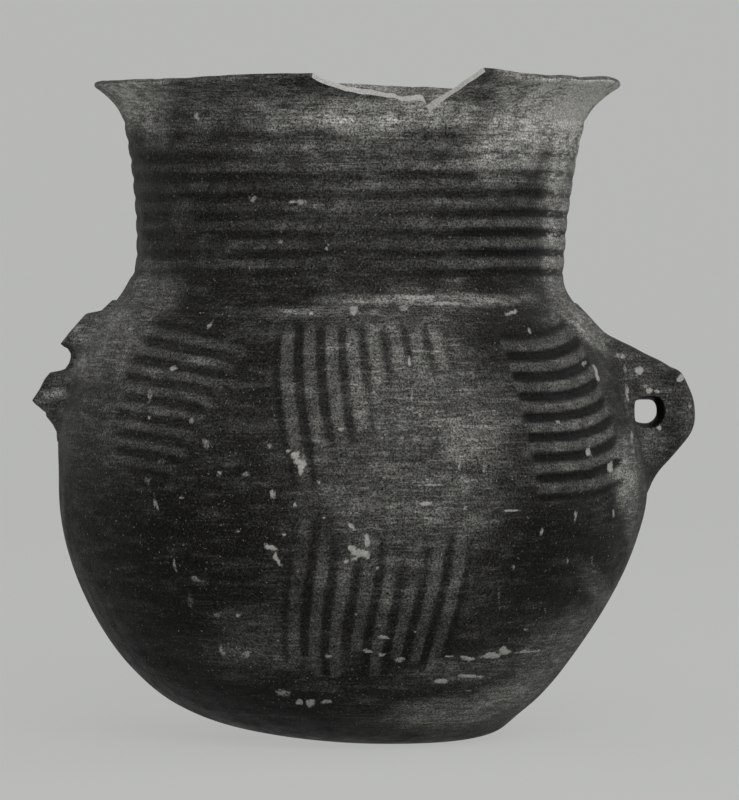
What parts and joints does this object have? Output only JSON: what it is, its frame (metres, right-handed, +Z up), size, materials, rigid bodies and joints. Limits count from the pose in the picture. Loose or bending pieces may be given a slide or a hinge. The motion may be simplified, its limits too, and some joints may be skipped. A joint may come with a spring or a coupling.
{
  "type": "lugged jar",
  "caption": "Round-bellied hand-built jar with a wide ribbed neck, flaring rim, fluted panels and pierced shoulder lugs, one broken.",
  "frame": {"origin": "on the resting plane, under the middle of the body, on the worn flat of the base", "axes": "+Z up towards the mouth, +X towards the whole lug, -Y towards the front with the chipped rim"},
  "size_m": [0.1872, 0.1666, 0.187],
  "materials": {
    "dark_body": "smoke-blackened and burnished clay, worn matt",
    "worn_edge": "burnished clay worn through at the edges"
  },
  "bodies": {
    "root": {"base": "dark_body", "lower_wall": "dark_body", "belly_wall": "dark_body", "shoulder": "dark_body", "neck": "dark_body", "rim": "worn_edge", "right_lug": "worn_edge", "left_lug_stump": "worn_edge"}
  },
  "joints": []
}
